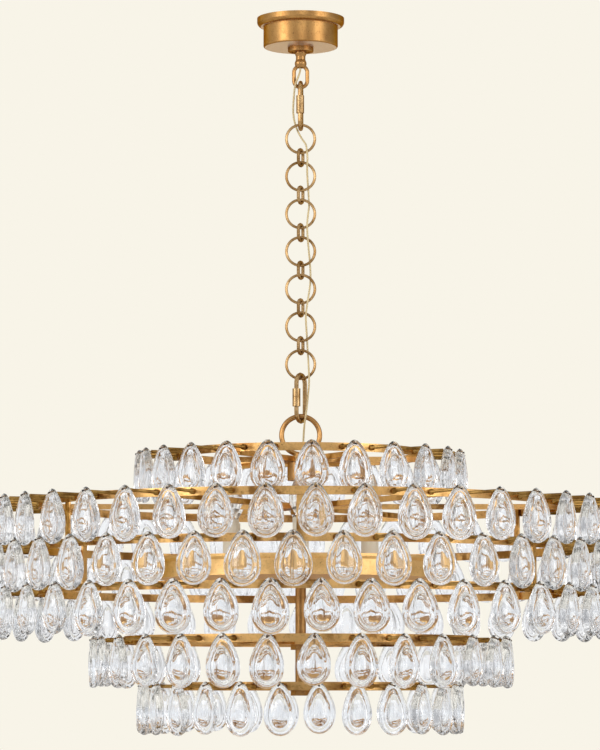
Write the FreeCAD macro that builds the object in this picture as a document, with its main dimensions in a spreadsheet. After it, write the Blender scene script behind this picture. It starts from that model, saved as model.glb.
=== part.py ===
import FreeCAD, Part

import math
import os
import Sketcher
from FreeCAD import Placement, Rotation, Vector

# Crystal chandelier. Origin at the centre of the ceiling plane, +Z up, front towards -Y, all in mm.
# The canopy hangs from the ceiling, the chain from the canopy, and the frame from the chain. A fall
# is how far a piece of the frame lies below the foot of its hanging eye.

SIZES = {
    # Crossbar on the ceiling box, and the threaded tube through it
    "bracket_length": 104,
    "bracket_width": 20,
    "bracket_thickness": 3,
    "slot_spacing": 88.9,
    "slot_length": 9,
    "slot_width": 5,
    "nipple_width": 10,
    "nipple_bore": 6,
    "nut_width": 15,
    "nut_height": 5,
    # Canopy shell
    "flange_overhang": 9.7,
    "flange_height": 13,
    "flange_round": 7,
    "canopy_width": 113.6,
    "canopy_height": 45,
    "canopy_wall": 1.5,
    "canopy_round": 2.5,
    # Screw collar, and the fixed loop that it turns on
    "collar_width": 39,
    "collar_height": 7,
    "collar_round": 1.5,
    "thread_width": 27,
    "thread_length": 20,
    "thread_clearance": 0.2,
    "neck_width": 18,
    "neck_waist": 14.5,
    "neck_length": 24,
    "neck_ring_foot": 2.4,
    "neck_cove_top": 6.7,
    "neck_cove_foot": 12,
    "neck_bead_top": 16.3,
    "neck_bead_foot": 19.2,
    "loop_width": 26,
    "loop_height": 39,
    "loop_wire": 5.8,
    # Chain
    "link_gap": 0.3,
    "wire_sides": 8,
    "quick_width": 35,
    "quick_height": 77.5,
    "quick_wire": 7,
    "quick_slot": 7,
    "quick_turn_upper": 3,
    "quick_turn_lower": 27,
    "sleeve_width": 12,
    "sleeve_height": 26.8,
    "sleeve_clearance": 0.3,
    "ring_width": 47.2,
    "ring_wire": 4.1,
    "ring_count": 7,
    "oval_width": 21.5,
    "oval_height": 29.8,
    "oval_wire": 5.35,
    "oval_turn": 25,
    "eye_width": 65,
    "eye_wire": 7.5,
    "eye_collar_width": 22.4,
    "eye_collar_height": 5,
    "eye_stud_width": 10,
    "eye_stud_length": 18,
    # Cord
    "cord_width": 3,
    "cord_bend_share": 0.45,
    "cord_inlet_across": 3.4,
    "cord_inlet_back": 13,
    "cord_inlet_depth": 7,
    "cord_inlet_width": 4.2,
    # Hub, stem and nuts
    "hub_width": 40,
    "hub_height": 28,
    "stem_width": 16,
    "stem_wall": 2,
    "stem_seat": 8,
    "stem_clearance": 0.15,
    "stem_nut_width": 26,
    "stem_nut_height": 8,
    # Spiders: a hub plate with flat spokes
    "plate_width": 50,
    "spoke_width": 6,
    "spoke_height": 8,
    "spoke_count": 6,
    "spoke_gap": 0.3,
    # Bands, and the straps that join the three wide ones
    "band_height": 12,
    "band_thickness": 3,
    "strap_width": 12,
    "strap_thickness": 3,
    "strap_turn": 30,
    # Pegs
    "peg_width": 4.8,
    "pin_width": 2,
    "pin_overhang": 1.5,
    "pin_clearance": 0.05,
    "peg_gap": 0.4,
    # Glass drops
    "drop_height": 77,
    "drop_width": 48,
    "drop_thickness": 14,
    "drop_hole": 3,
    "drop_hole_depth": 6.5,
    "drop_sides": 10,
    "drop_bevel": 3,
    "drop_rim": 6.5,
    "drop_dish": 2.5,
    # Lamp pan, holders and lamps
    "pan_fall": 184.3,
    "pan_width": 440,
    "pan_height": 31,
    "pan_wall": 1.5,
    "pan_lip": 4,
    "lamp_count": 6,
    "lamp_circle": 240,
    "holder_width": 24,
    "holder_height": 85,
    "holder_foot_width": 34,
    "holder_foot_height": 6,
    "lamp_base_width": 14,
    "lamp_base_depth": 20,
    "lamp_width": 35,
    "lamp_height": 75,
    "lamp_neck": 3.8,
    "lamp_belly_low": 22.5,
    "lamp_belly_high": 33.8,
    "lamp_tip_foot": 63.8,
    "lamp_tip_width": 14,
    "lamp_clearance": 0.3,
    # Six tiers: how far each band hangs below the eye's foot, its outer width, the length of its
    # pegs, how many drops they carry, and where the first drop is, as a share of a pitch
    "fall_one": 3.2,
    "fall_two": 79.4,
    "fall_three": 144.6,
    "fall_four": 210.1,
    "fall_five": 282.6,
    "fall_six": 351.1,
    "band_width_one": 374,
    "band_width_wide": 790,
    "band_width_five": 530,
    "band_width_six": 366,
    "peg_length_one": 48.3,
    "peg_length_wide": 73.3,
    "peg_length_five": 38.3,
    "peg_length_six": 47.3,
    "one_drop_count": 24,
    "wide_drop_count": 43,
    "five_drop_count": 29,
    "six_drop_count": 26,
    "one_start_share": 0.25,
    "two_start_share": 0.30,
    "three_start_share": 0.85,
    "four_start_share": 0.40,
    "five_start_share": 0.30,
    "six_start_share": 0.45,
}

doc = FreeCAD.newDocument("Chandelier")
sheet = doc.addObject("Spreadsheet::Sheet", "Sizes")
for row, (alias, number) in enumerate(SIZES.items(), start=1):
    sheet.set(f"A{row}", alias)
    sheet.set(f"B{row}", str(number))
    sheet.setAlias(f"B{row}", alias)
doc.recompute()

UP = Vector(0, 0, 1)
ALONG_X = Vector(1, 0, 0)
ALONG_Y = Vector(0, 1, 0)
nodes = {}


def size(alias):
    return float(sheet.get(alias))


def bind(item, **formulas):
    """Ties properties of an object to cells; two underscores stand for a dot."""
    for name, formula in formulas.items():
        item.setExpression(name.replace("__", "."), formula)
    return item


def node(label, item):
    """Gives a finished sub-part the name of its file."""
    item.Label = label
    nodes[label] = item
    return item


def cylinder(radius, height, place):
    """An upright cylinder; radius and height are formulas, place is its lower centre."""
    item = bind(doc.addObject("Part::Cylinder"), Radius=radius, Height=height)
    item.Placement.Base = place
    return item


def box(length, width, height, place):
    """A box centred over its place; its sizes are formulas."""
    item = bind(doc.addObject("Part::Box"), Length=length, Width=width, Height=height)
    bind(item, Placement__Base__x=f"{place.x} - ({length}) / 2")
    bind(item, Placement__Base__y=f"{place.y} - ({width}) / 2")
    item.Placement.Base.z = place.z
    return item


def prism(sides, radius, height, place):
    item = bind(doc.addObject("Part::Prism"), Circumradius=radius, Height=height)
    item.Polygon = sides
    item.Placement.Base = place
    return item


def fuse(*items):
    item = doc.addObject("Part::MultiFuse")
    item.Shapes = list(items)
    item.Refine = True
    return item


def cut(base, tool):
    item = doc.addObject("Part::Cut")
    item.Base = base
    item.Tool = tool
    item.Refine = True
    return item


def finished(item):
    """The item's shape after a recompute, or an error if it failed."""
    doc.recompute()
    return item.Shape


def group(label, shapes):
    """Copies of one piece that share a node."""
    item = doc.addObject("Part::Feature")
    item.Shape = Part.makeCompound(shapes)
    return node(label, item)


def turned(shape, angle, move=Vector()):
    """A copy moved first, then turned about the main axis by an angle in degrees."""
    copy = shape.copy()
    copy.Placement = Placement(Vector(), Rotation(UP, angle)).multiply(
        Placement(move, Rotation()).multiply(copy.Placement)
    )
    return copy


def polar(item, count):
    """The shapes of an item repeated round the main axis, the first at the item's own place."""
    shape = finished(item)
    return [turned(shape, 360 * step / count) for step in range(int(count))]


def plane(body, role):
    return next(o for o in body.Origin.OriginFeatures if o.Role == role)


def profile_sketch(body, corners):
    """A closed outline in the XZ plane; each corner is a pair of formulas for radius and level."""
    sketch = body.newObject("Sketcher::SketchObject", "Profile")
    sketch.AttachmentSupport = [(plane(body, "XZ_Plane"), "")]
    sketch.MapMode = "FlatFace"
    places = [Vector(value(across), value(up), 0) for across, up in corners]
    for start, end in zip(places, places[1:] + places[:1]):
        sketch.addGeometry(Part.LineSegment(start, end))
    count = len(corners)
    for side in range(count):
        sketch.addConstraint(Sketcher.Constraint("Coincident", side, 2, (side + 1) % count, 1))
    for side, (across, up) in enumerate(corners):
        bound_distance(sketch, "DistanceX", side, across)
        bound_distance(sketch, "DistanceY", side, up)
    return sketch


def bound_distance(sketch, kind, side, formula):
    """Holds the start of a side at a formula's distance from the sketch's origin."""
    name = f"{kind}{side}"
    index = sketch.addConstraint(Sketcher.Constraint(kind, -1, 1, side, 1, value(formula)))
    sketch.renameConstraint(index, name)
    sketch.setExpression(f"Constraints.{name}", formula)


def value(formula):
    """The number that a formula of cell names gives."""
    return float(sheet.evalExpression(formula.replace("Sizes.", "")))


def turned_body(corners):
    """A solid of revolution about the main axis, from an outline in the XZ plane."""
    body = doc.addObject("PartDesign::Body")
    sketch = profile_sketch(body, corners)
    turn = body.newObject("PartDesign::Revolution", "Turn")
    turn.Profile = sketch
    turn.ReferenceAxis = (sketch, ["V_Axis"])
    turn.Angle = 360
    doc.recompute()
    return body


def ring_plate(outer, inner, height, level):
    """A flat ring round the main axis, padded up from a sketch of two circles; level is its underside."""
    body = doc.addObject("PartDesign::Body")
    sketch = body.newObject("Sketcher::SketchObject", "Rims")
    sketch.AttachmentSupport = [(plane(body, "XY_Plane"), "")]
    sketch.MapMode = "FlatFace"
    for index, radius in enumerate((outer, inner)):
        sketch.addGeometry(Part.Circle(Vector(), UP, value(radius)))
        sketch.addConstraint(Sketcher.Constraint("Coincident", index, 3, -1, 1))
        name = sketch.addConstraint(Sketcher.Constraint("Radius", index, value(radius)))
        sketch.renameConstraint(name, f"Rim{index}")
        sketch.setExpression(f"Constraints.Rim{index}", radius)
    pad = body.newObject("PartDesign::Pad", "Plate")
    pad.Profile = sketch
    pad.setExpression("Length", height)
    body.Placement.Base = Vector(0, 0, level)
    return body


def round_edges(body, radius, wanted):
    """Rounds the edges of a body's last feature that a test picks out."""
    doc.recompute()
    tip = body.Tip
    names = [f"Edge{i}" for i, edge in enumerate(tip.Shape.Edges, start=1) if wanted(edge)]
    fillet = body.newObject("PartDesign::Fillet", "Rounding")
    fillet.Base = (tip, names)
    fillet.setExpression("Radius", radius)
    doc.recompute()


def rim_at(radius, level):
    """A test for a full circle of this radius at this level in the body's own frame."""

    def wanted(edge):
        curve = edge.Curve
        if not isinstance(curve, Part.Circle):
            return False
        return abs(curve.Radius - radius) < 0.01 and abs(curve.Center.z - level) < 0.01

    return wanted


# Levels that the chain sets, each a height above the ceiling plane and so negative
canopy_floor = -size("canopy_height")
collar_floor = canopy_floor - size("collar_height")
neck_floor = collar_floor - size("neck_length")
loop_radius = (size("loop_width") - size("loop_wire")) / 2
loop_centre = neck_floor + size("loop_wire") - size("loop_height") / 2
loop_seat = loop_centre - size("loop_height") / 2 + size("loop_wire")


class Wire:
    """Where one link of the chain hangs: its centre, its inner floor and the centre of its lowest wire."""

    def __init__(self, seat, height, wire):
        top = seat + size("link_gap") + size(wire)
        self.centre = top - size(height) / 2
        self.seat = top - size(height) + size(wire)
        self.wire_centre = self.seat - size(wire) / 2


upper_quick = Wire(loop_seat, "quick_height", "quick_wire")
rings = []
ovals = []
seat = upper_quick.seat
for number in range(int(size("ring_count"))):
    if rings:
        ovals.append(Wire(seat, "oval_height", "oval_wire"))
        seat = ovals[-1].seat
    rings.append(Wire(seat, "ring_width", "ring_wire"))
    seat = rings[-1].seat
lower_quick = Wire(seat, "quick_height", "quick_wire")
eye = Wire(lower_quick.seat, "eye_width", "eye_wire")
eye_floor = eye.seat - size("eye_wire")


# Crossbar: its top lies on the ceiling box, with a slot at each end for the box's screws
def ceiling_bracket():
    floor = -size("bracket_thickness")
    thickness = "Sizes.bracket_thickness"
    bar = box("Sizes.bracket_length", "Sizes.bracket_width", thickness, Vector(0, 0, floor))
    tools = [cylinder("Sizes.nipple_width / 2 + Sizes.thread_clearance", thickness, Vector(0, 0, floor))]
    reach = (size("slot_length") - size("slot_width")) / 2
    for side in (-1, 1):
        middle = side * size("slot_spacing") / 2
        for end in (-1, 1):
            place = Vector(middle + end * reach, 0, floor)
            tools.append(cylinder("Sizes.slot_width / 2", thickness, place))
        straight = "Sizes.slot_length - Sizes.slot_width"
        tools.append(box(straight, "Sizes.slot_width", thickness, Vector(middle, 0, floor)))
    node("ceiling_bracket", cut(bar, fuse(*tools)))


# Threaded tube from the crossbar down into the loop's threaded body, with a locknut at each
def threaded_tube():
    loop_top = collar_floor + size("thread_length")
    floor = loop_top - size("stem_seat")
    length = "Sizes.canopy_height + Sizes.collar_height - Sizes.thread_length + Sizes.stem_seat"
    tube = cylinder("Sizes.nipple_width / 2", length, Vector(0, 0, floor))
    bore = cylinder("Sizes.nipple_bore / 2", length, Vector(0, 0, floor))
    node("mounting_nipple", cut(tube, bore))
    nuts = []
    thread = "(Sizes.nipple_width + Sizes.thread_clearance) / 2"
    for level in (-size("bracket_thickness") - size("nut_height"), loop_top):
        nut = prism(6, "Sizes.nut_width / 2 / cos(30)", "Sizes.nut_height", Vector(0, 0, level))
        hole = cylinder(thread, "Sizes.nut_height", Vector(0, 0, level))
        nuts.append(finished(cut(nut, hole)))
    group("nipple_locknuts", nuts)


# The loop piece: threaded body, waisted neck and a fixed oval loop, bored through for the cord
def canopy_loop():
    top = "Sizes.thread_length - Sizes.canopy_height - Sizes.collar_height"
    floor = "-Sizes.canopy_height - Sizes.collar_height"
    foot = f"{floor} - Sizes.neck_length"
    corners = [
        ("0", top),
        ("Sizes.thread_width / 2", top),
        ("Sizes.thread_width / 2", f"{floor} + Sizes.collar_round"),
        ("Sizes.thread_width / 2 - Sizes.collar_round", floor),
        ("Sizes.neck_width / 2", floor),
        ("Sizes.neck_width / 2", f"{floor} - Sizes.neck_ring_foot"),
        ("Sizes.neck_waist / 2", f"{floor} - Sizes.neck_cove_top"),
        ("Sizes.neck_waist / 2", f"{floor} - Sizes.neck_cove_foot"),
        ("Sizes.neck_width / 2", f"{floor} - Sizes.neck_bead_top"),
        ("Sizes.neck_width / 2", f"{floor} - Sizes.neck_bead_foot"),
        ("Sizes.neck_waist / 2", foot),
        ("0", foot),
    ]
    neck = turned_body(corners)
    whole = fuse(neck, *oval_wire("loop_width", "loop_height", "loop_wire", loop_centre, 0))
    low = neck_floor - size("loop_wire")
    bore_length = "Sizes.thread_length + Sizes.neck_length + Sizes.loop_wire"
    bore = cylinder("Sizes.nipple_bore / 2", bore_length, Vector(0, 0, low))
    seat_floor = collar_floor + size("thread_length") - size("stem_seat")
    thread = "(Sizes.nipple_width + Sizes.thread_clearance) / 2"
    seat = cylinder(thread, "Sizes.stem_seat", Vector(0, 0, seat_floor))
    node("canopy_loop", cut(whole, fuse(bore, seat)))


def bent_wire(reach, wire, angle, place):
    """Wire bent round an axis along Y, from +X and downwards; reach is a formula, and so is wire."""
    section = doc.addObject("Part::RegularPolygon")
    bind(section, Circumradius=f"{wire} / 2", Placement__Base__x=reach)
    section.Polygon = int(size("wire_sides"))
    item = doc.addObject("Part::Revolution")
    item.Source = section
    item.Axis = ALONG_Y
    item.Angle = angle
    item.Solid = True
    item.Placement = place
    return item


def oval_wire(width, height, wire, centre, turn):
    """The four pieces of a closed oval link of wire, in an upright plane turned from the XZ plane."""
    bend = f"(Sizes.{width} - Sizes.{wire}) / 2"
    half = (size(height) - size(width)) / 2
    swing = Rotation(UP, turn)
    pieces = []
    for side, angle in ((1, -180), (-1, 180)):
        place = Placement(Vector(0, 0, centre + side * half), swing)
        pieces.append(bent_wire(bend, f"Sizes.{wire}", angle, place))
    reach = (size(width) - size(wire)) / 2
    for side in (-1, 1):
        foot = swing.multVec(Vector(side * reach, 0, 0)) + Vector(0, 0, centre - half)
        straight = f"Sizes.{height} - Sizes.{width}"
        leg = prism(int(size("wire_sides")), f"Sizes.{wire} / 2", straight, foot)
        leg.Placement.Rotation = swing
        pieces.append(leg)
    return pieces


# Canopy: a pressed shell with a rounded flange against the ceiling
def canopy_shell():
    inside = "Sizes.canopy_width / 2 - Sizes.canopy_wall"
    flange = "Sizes.canopy_width / 2 + Sizes.flange_overhang"
    hole = "Sizes.thread_width / 2 + Sizes.thread_clearance"
    corners = [
        (f"{flange} - Sizes.canopy_wall", "0"),
        (flange, "0"),
        (flange, "-Sizes.flange_height"),
        ("Sizes.canopy_width / 2", "-Sizes.flange_height"),
        ("Sizes.canopy_width / 2", "-Sizes.canopy_height"),
        (hole, "-Sizes.canopy_height"),
        (hole, "Sizes.canopy_wall - Sizes.canopy_height"),
        (inside, "Sizes.canopy_wall - Sizes.canopy_height"),
        (inside, "Sizes.canopy_wall - Sizes.flange_height"),
        (f"{flange} - Sizes.canopy_wall", "Sizes.canopy_wall - Sizes.flange_height"),
    ]
    body = turned_body(corners)
    reach = size("canopy_width") / 2 + size("flange_overhang")
    wall = size("canopy_wall")
    round_edges(body, "Sizes.flange_round", rim_at(reach, -size("flange_height")))
    inner = "Sizes.flange_round - Sizes.canopy_wall"
    round_edges(body, inner, rim_at(reach - wall, wall - size("flange_height")))
    round_edges(body, "Sizes.canopy_round", rim_at(size("canopy_width") / 2, canopy_floor))
    node("canopy_shell", body)


def screw_collar():
    hole = "Sizes.thread_width / 2 + Sizes.thread_clearance"
    body = ring_plate("Sizes.collar_width / 2", hole, "Sizes.collar_height", collar_floor)
    round_edges(body, "Sizes.collar_round", rim_at(size("collar_width") / 2, 0))
    node("screw_collar", body)


# Quick links: an oval of round wire whose one leg is cut, with a sleeve that closes the gap
def quick_link(label, sleeve_label, place, turn, side):
    reach = side * (size("quick_width") - size("quick_wire")) / 2
    leg = Rotation(UP, turn).multVec(Vector(reach, 0, 0))
    floor = place.centre - size("sleeve_height") / 2
    whole = fuse(*oval_wire("quick_width", "quick_height", "quick_wire", place.centre, turn))
    gap = cylinder("Sizes.quick_wire", "Sizes.quick_slot", leg + Vector(0, 0, floor + size("link_gap")))
    node(label, cut(whole, gap))
    sleeve = cylinder("Sizes.sleeve_width / 2", "Sizes.sleeve_height", leg + Vector(0, 0, floor))
    hole_radius = "Sizes.quick_wire / 2 + Sizes.sleeve_clearance"
    hole = cylinder(hole_radius, "Sizes.sleeve_height", leg + Vector(0, 0, floor))
    node(sleeve_label, cut(sleeve, hole))


def chain():
    quick_link("upper_quick_link", "upper_link_sleeve", upper_quick, 90 - size("quick_turn_upper"), -1)
    for number, place in enumerate(rings, start=1):
        reach = "(Sizes.ring_width - Sizes.ring_wire) / 2"
        upright = Placement(Vector(0, 0, place.centre), Rotation())
        node(f"chain_ring_{number}", bent_wire(reach, "Sizes.ring_wire", 360, upright))
    for number, place in enumerate(ovals, start=1):
        turn = 90 - size("oval_turn")
        link = fuse(*oval_wire("oval_width", "oval_height", "oval_wire", place.centre, turn))
        node(f"chain_link_{number}", link)
    quick_link("lower_quick_link", "lower_link_sleeve", lower_quick, 90 - size("quick_turn_lower"), -1)


# Hanging eye: a full ring on a collar, with a stud down through the top spider into the hub
def hanging_eye():
    reach = "(Sizes.eye_width - Sizes.eye_wire) / 2"
    ring = bent_wire(reach, "Sizes.eye_wire", 360, Placement(Vector(0, 0, eye.centre), Rotation()))
    collar = cylinder("Sizes.eye_collar_width / 2", "Sizes.eye_collar_height", Vector(0, 0, eye_floor))
    stud_floor = eye_floor - size("eye_stud_length")
    stud = cylinder("Sizes.eye_stud_width / 2", "Sizes.eye_stud_length", Vector(0, 0, stud_floor))
    node("hanging_eye", fuse(ring, collar, stud))


hub_top = eye_floor - size("spoke_height")
hub_floor = hub_top - size("hub_height")
stem_top = hub_floor + size("stem_seat")
stem_floor = eye_floor - size("fall_six") - size("stem_nut_height")


# Hub: a turned boss below the top spider; the eye's stud and the stem screw into it
def top_hub():
    body = cylinder("Sizes.hub_width / 2", "Sizes.hub_height", Vector(0, 0, hub_floor))
    stud_depth = "Sizes.eye_stud_length - Sizes.spoke_height"
    stud_floor = eye_floor - size("eye_stud_length")
    stud = cylinder("Sizes.eye_stud_width / 2 + Sizes.stem_clearance", stud_depth, Vector(0, 0, stud_floor))
    stem_hole = "Sizes.stem_width / 2 + Sizes.stem_clearance"
    socket = cylinder(stem_hole, "Sizes.stem_seat", Vector(0, 0, hub_floor))
    inlet_depth = size("cord_inlet_depth")
    inlet_place = Vector(size("cord_inlet_across"), size("cord_inlet_back"), hub_top - inlet_depth)
    inlet = cylinder("Sizes.cord_inlet_width / 2", "Sizes.cord_inlet_depth", inlet_place)
    node("top_hub", cut(body, fuse(stud, socket, inlet)))


def stem():
    length = f"{stem_top - stem_floor}"
    tube = cylinder("Sizes.stem_width / 2", length, Vector(0, 0, stem_floor))
    bore = cylinder("Sizes.stem_width / 2 - Sizes.stem_wall", length, Vector(0, 0, stem_floor))
    node("stem", cut(tube, bore))
    nuts = []
    for fall in ("fall_two", "pan_fall", "fall_five", "fall_six"):
        low = Vector(0, 0, eye_floor - size(fall) - size("stem_nut_height"))
        nut = prism(6, "Sizes.stem_nut_width / 2 / cos(30)", "Sizes.stem_nut_height", low)
        hole = cylinder("Sizes.stem_width / 2 + Sizes.stem_clearance", "Sizes.stem_nut_height", low)
        nuts.append(finished(cut(nut, hole)))
    group("stem_nuts", nuts)


# A tier: where its band, pegs and drops are; the three wide tiers share their widths and counts
class Tier:
    def __init__(self, number, name, kind):
        self.number = number
        self.floor = eye_floor - size(f"fall_{name}")
        self.top = self.floor + size("band_height")
        self.band = f"band_width_{kind}"
        self.outer = size(self.band) / 2
        self.root = self.outer + size("link_gap")
        self.peg = size(f"peg_length_{kind}")
        self.face = self.root + self.peg
        self.circle = self.face + size("peg_gap") + size("drop_thickness") / 2
        self.count = int(size(f"{kind}_drop_count"))
        self.start = size(f"{name}_start_share")

    def angles(self):
        """Turns of the drops about the main axis, the front one first, in degrees."""
        return [360 * (step + self.start) / self.count for step in range(self.count)]


NAMES = ["one", "two", "three", "four", "five", "six"]
KINDS = ["one", "wide", "wide", "wide", "five", "six"]
tiers = [Tier(number, name, kind) for number, name, kind in zip(range(1, 7), NAMES, KINDS)]


# Spiders: a hub plate with flat spokes out to the inside of a band
def spider(label, tier, bore, top=None):
    floor = tier.floor if top is None else top - size("spoke_height")
    place = Vector(0, 0, floor)
    length = f"Sizes.{tier.band} - 2 * Sizes.band_thickness - 2 * Sizes.spoke_gap"
    plate = cylinder("Sizes.plate_width / 2", "Sizes.spoke_height", place)
    bars = []
    for step in range(int(size("spoke_count") / 2)):
        bar = box(length, "Sizes.spoke_width", "Sizes.spoke_height", place)
        turn = 360 * step / size("spoke_count")
        holder = doc.addObject("Part::Compound")
        holder.Links = [bar]
        holder.Placement.Rotation = Rotation(UP, turn)
        bars.append(holder)
    holes = [cylinder(bore, "Sizes.spoke_height", place)]
    if tier.number == 1:
        inlet = Vector(size("cord_inlet_across"), size("cord_inlet_back"), floor)
        holes.append(cylinder("Sizes.cord_inlet_width / 2", "Sizes.spoke_height", inlet))
    tool = holes[0] if len(holes) == 1 else fuse(*holes)
    node(label, cut(fuse(plate, *bars), tool))


def spiders():
    stem_bore = "Sizes.stem_width / 2 + Sizes.stem_clearance"
    spider("top_spider", tiers[0], "Sizes.eye_stud_width / 2 + Sizes.stem_clearance", eye_floor)
    spider("middle_spider", tiers[1], stem_bore)
    spider("lower_spider", tiers[4], stem_bore)
    spider("bottom_spider", tiers[5], stem_bore)


def bands():
    for tier in tiers:
        outer = f"Sizes.{tier.band} / 2"
        body = ring_plate(outer, f"{outer} - Sizes.band_thickness", "Sizes.band_height", tier.floor)
        node(f"tier_{tier.number}_band", body)


# Straps: upright flats inside the three wide bands, halfway between the spokes
def straps():
    inside = tiers[1].outer - size("band_thickness")
    half = size("strap_width") / 2
    outer_face = math.sqrt(inside**2 - half**2) - size("spoke_gap")
    height = "Sizes.fall_four - Sizes.fall_two + Sizes.band_height"
    middle = outer_face - size("strap_thickness") / 2
    strap = box("Sizes.strap_thickness", "Sizes.strap_width", height, Vector(middle, 0, tiers[3].floor))
    first = turned(finished(strap), size("strap_turn"))
    shapes = [turned(first, 360 * step / size("spoke_count")) for step in range(int(size("spoke_count")))]
    group("band_straps", shapes)


# Glass drop: two flanks that run tangent into a round bottom; its point is at the origin
def drop_outline(inset):
    """Formulas for the corners of a drop's outline, moved in from its edge by a formula, the point first."""
    radius = f"(Sizes.drop_width / 2 - {inset})"
    centre = "Sizes.drop_width / 2 - Sizes.drop_height"
    lean = math.asin(size("drop_width") / (2 * size("drop_height") - size("drop_width")))
    sides = int(size("drop_sides"))
    corners = [("0", f"{centre} + {radius} / {math.sin(lean):.6f}")]
    for side in range(sides + 1):
        angle = lean - side * (math.pi + 2 * lean) / sides
        across = f"{radius} * {math.cos(angle):.6f}"
        corners.append((across, f"{centre} + {radius} * {math.sin(angle):.6f}"))
    return corners


def plain_drop():
    """The drop as it repeats round a tier: its outline at its full thickness."""
    body = doc.addObject("PartDesign::Body")
    sketch = profile_sketch(body, drop_outline("0"))
    pad = body.newObject("PartDesign::Pad", "Glass")
    pad.Profile = sketch
    pad.Midplane = True
    pad.setExpression("Length", "Sizes.drop_thickness")
    doc.recompute()
    return body


def pinned_drop():
    """The whole drop: bevelled edges, a dished middle on both faces, and the hole for its pin."""
    body = plain_drop()
    tip = body.Tip
    half = size("drop_thickness") / 2
    wanted = [abs(abs(edge.CenterOfMass.y) - half) < 0.01 for edge in tip.Shape.Edges]
    bevel = body.newObject("PartDesign::Chamfer", "Bevel")
    bevel.Base = (tip, [f"Edge{index}" for index, on_face in enumerate(wanted, start=1) if on_face])
    bevel.setExpression("Size", "Sizes.drop_bevel")
    for side in (-1, 1):
        sketch = profile_sketch(body, drop_outline("Sizes.drop_rim"))
        sketch.AttachmentOffset = Placement(Vector(0, 0, side * half), Rotation())
        pocket_through(body, sketch, "Dish", "Sizes.drop_dish * 2")
    hole = body.newObject("Sketcher::SketchObject", "PinHole")
    hole.AttachmentSupport = [(plane(body, "XZ_Plane"), "")]
    hole.MapMode = "FlatFace"
    hole.addGeometry(Part.Circle(Vector(0, -size("drop_hole_depth"), 0), UP, size("drop_hole") / 2))
    hole.addConstraint(Sketcher.Constraint("PointOnObject", 0, 3, -2))
    radius = hole.addConstraint(Sketcher.Constraint("Radius", 0, size("drop_hole") / 2))
    hole.renameConstraint(radius, "Radius")
    hole.setExpression("Constraints.Radius", "Sizes.drop_hole / 2")
    depth = hole.addConstraint(Sketcher.Constraint("DistanceY", 0, 3, -1, 1, size("drop_hole_depth")))
    hole.renameConstraint(depth, "Depth")
    hole.setExpression("Constraints.Depth", "Sizes.drop_hole_depth")
    pocket_through(body, hole, "Hole", "Sizes.drop_thickness * 2")
    return body


def pocket_through(body, sketch, label, length):
    """A pocket as deep to both sides of its sketch."""
    pocket = body.newObject("PartDesign::Pocket", label)
    pocket.Profile = sketch
    pocket.Midplane = True
    pocket.setExpression("Length", length)
    doc.recompute()


# Pegs and drops of every tier; the drop nearest the front has its own node, so that it can swing
def pegs_and_drops():
    plain = plain_drop().Shape
    pinned = pinned_drop().Shape
    for tier in tiers:
        level = (tier.top + tier.floor) / 2
        peg = hexagon_peg(tier.peg, tier.root, level)
        pin_length = size("drop_thickness") + size("peg_gap") + size("pin_overhang")
        root = Vector(0, -tier.face, level)
        pin = Part.makeCylinder(size("pin_width") / 2, pin_length, root, Vector(0, -1, 0))
        apex = Vector(0, -tier.circle, level + size("drop_hole_depth"))
        hang = (size("drop_hole") - size("pin_width")) / 2
        angles = tier.angles()
        pegs = [turned(peg.fuse(pin), angles[0])] + [turned(peg, angle) for angle in angles[1:]]
        group(f"tier_{tier.number}_pegs", pegs)
        group(f"tier_{tier.number}_drops", [turned(plain, angle, apex) for angle in angles[1:]])
        front = turned(pinned, angles[0], apex - Vector(0, 0, hang - size("pin_clearance")))
        group(f"tier_{tier.number}_front_drop", [front])


def hexagon_peg(length, start, level):
    """A six-sided rod that runs out from the band towards the front."""
    radius = size("peg_width") / 2
    corners = []
    for step in range(7):
        angle = math.radians(60 * step)
        corners.append(Vector(radius * math.cos(angle), -start, level + radius * math.sin(angle)))
    return Part.Face(Part.makePolygon(corners)).extrude(Vector(0, -length, 0))


# Lamp pan: a wide shallow drum with a rolled lip, on a nut of the stem
def lamp_pan():
    outer = "Sizes.pan_width / 2"
    rim = "Sizes.pan_height"
    hole = "Sizes.stem_width / 2 + Sizes.stem_clearance"
    corners = [
        (hole, "0"),
        (f"{outer} - Sizes.pan_lip", "0"),
        (f"{outer} - Sizes.pan_lip", f"{rim} - Sizes.pan_lip * 2"),
        (outer, f"{rim} - Sizes.pan_lip"),
        (outer, rim),
        (f"{outer} - Sizes.pan_wall", rim),
        (f"{outer} - Sizes.pan_wall", f"{rim} - Sizes.pan_lip + Sizes.pan_wall / 2"),
        (f"{outer} - Sizes.pan_lip - Sizes.pan_wall", f"{rim} - Sizes.pan_lip * 2 + Sizes.pan_wall / 2"),
        (f"{outer} - Sizes.pan_lip - Sizes.pan_wall", "Sizes.pan_wall"),
        (hole, "Sizes.pan_wall"),
    ]
    body = turned_body(corners)
    body.Placement.Base = Vector(0, 0, eye_floor - size("pan_fall"))
    node("lamp_pan", body)


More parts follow.
